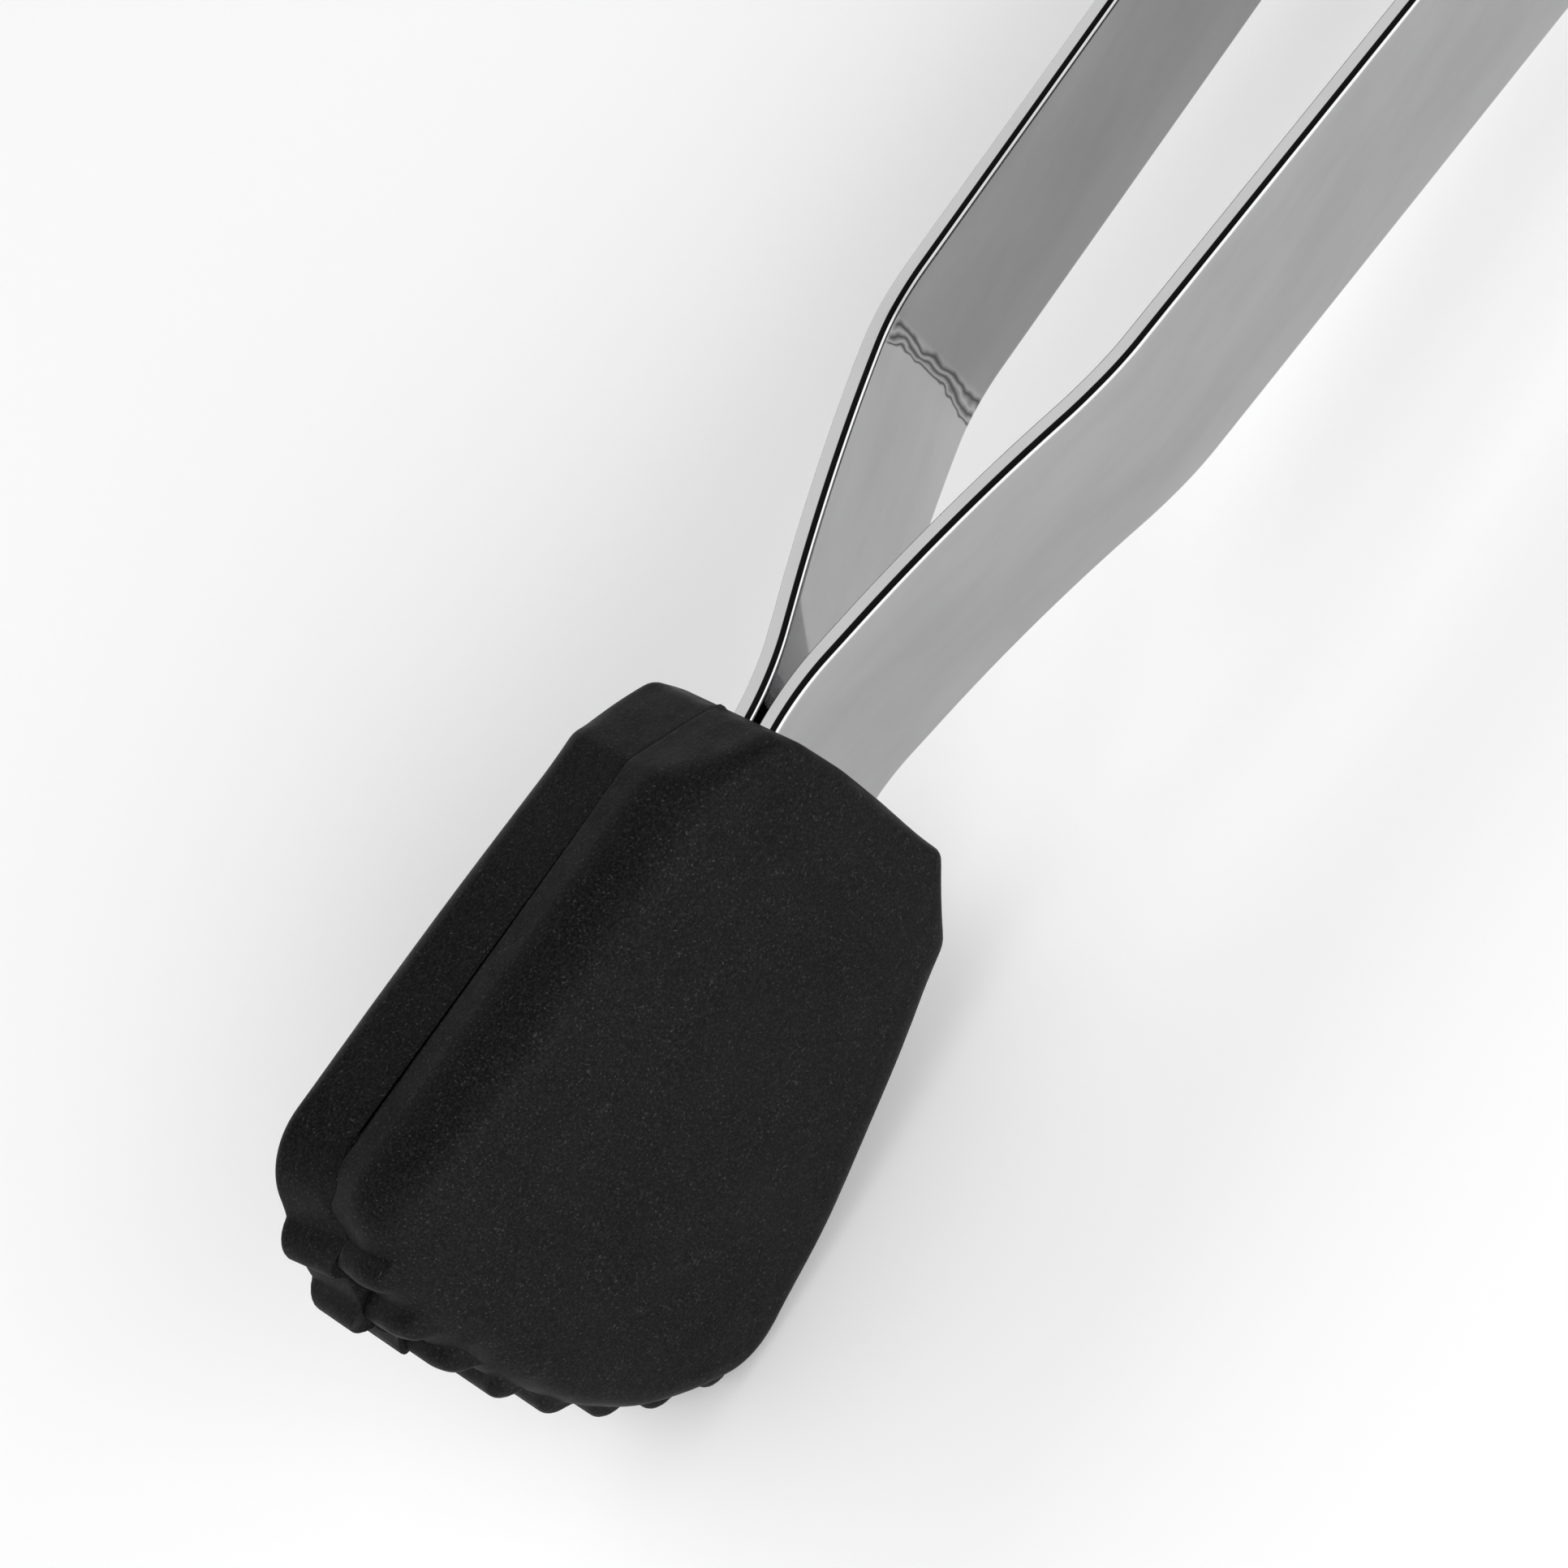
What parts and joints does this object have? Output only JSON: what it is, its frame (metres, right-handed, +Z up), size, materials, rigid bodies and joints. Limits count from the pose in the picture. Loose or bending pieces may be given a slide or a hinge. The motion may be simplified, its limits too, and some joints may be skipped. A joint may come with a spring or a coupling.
{
  "type": "spring loaded kitchen tongs",
  "caption": "Spring-loaded kitchen tongs: polished strap arms on a sprung hinge, canted silicone jaws with a toothed tip, and a pull-to-lock hanging tab.",
  "frame": {"origin": "on the worktop under the middle of the tongs, which lie closed on their side", "axes": "+X towards the jaw tips, +Y towards the front arm, +Z up from the worktop; the hinge pin leans 6.0 degrees from +Z because the canted jaws stand deeper than the hinge"},
  "size_m": [0.3122, 0.0416, 0.0498],
  "materials": {
    "polished_steel": "polished stainless strap with softly rounded edges",
    "jaw_rubber": "matte black silicone with a fine moulded grain",
    "core_nylon": "plain moulded nylon, hidden inside the jaw",
    "bracket_steel": "stamped stainless sheet, lightly brushed",
    "rivet_steel": "satin stainless rivet",
    "spring_steel": "drawn spring wire",
    "bush_nylon": "natural nylon",
    "tab_plastic": "matte black moulded nylon"
  },
  "bodies": {
    "hinge_core": {"hinge_pin": "rivet_steel", "upper_pin_washer": "bracket_steel", "lower_pin_washer": "bracket_steel", "spring_bush": "bush_nylon", "torsion_spring": "spring_steel"},
    "front_arm_body": {"front_arm": "polished_steel", "front_jaw_cover": "jaw_rubber", "front_jaw_core": "core_nylon", "front_jaw_rivets": "rivet_steel", "front_hinge_bracket": "bracket_steel", "front_bracket_rivets": "rivet_steel"},
    "rear_arm_body": {"rear_arm": "polished_steel", "rear_jaw_cover": "jaw_rubber", "rear_jaw_core": "core_nylon", "rear_jaw_rivets": "rivet_steel", "rear_hinge_bracket": "bracket_steel", "rear_bracket_rivets": "rivet_steel"},
    "lock": {"lock_frame": "bracket_steel", "lock_bar": "rivet_steel", "pull_tab": "tab_plastic", "tab_rivet": "rivet_steel"}
  },
  "joints": [
    {"name": "front_arm_hinge", "type": "hinge", "parent": "hinge_core", "child": "front_arm_body", "pos_m": [-0.11723, 0, 0.01125], "axis": [-0.1045, 0, 0.9945], "range_deg": [0, 13], "stiffness_Nm_per_rad": 1, "springref_deg": 34.38, "deforming": ["torsion_spring"]},
    {"name": "rear_arm_hinge", "type": "hinge", "parent": "hinge_core", "child": "rear_arm_body", "pos_m": [-0.11723, 0, 0.01125], "axis": [-0.1045, 0, 0.9945], "range_deg": [-13, 0], "stiffness_Nm_per_rad": 1, "springref_deg": -34.38},
    {"name": "lock_slide", "type": "slide", "parent": "hinge_core", "child": "lock", "axis": [-0.9945, 0, -0.1045], "range_m": [0, 0.007]}
  ],
  "couplings": [
    {"joint": "rear_arm_hinge", "follows": "front_arm_hinge", "ratio": -1}
  ]
}
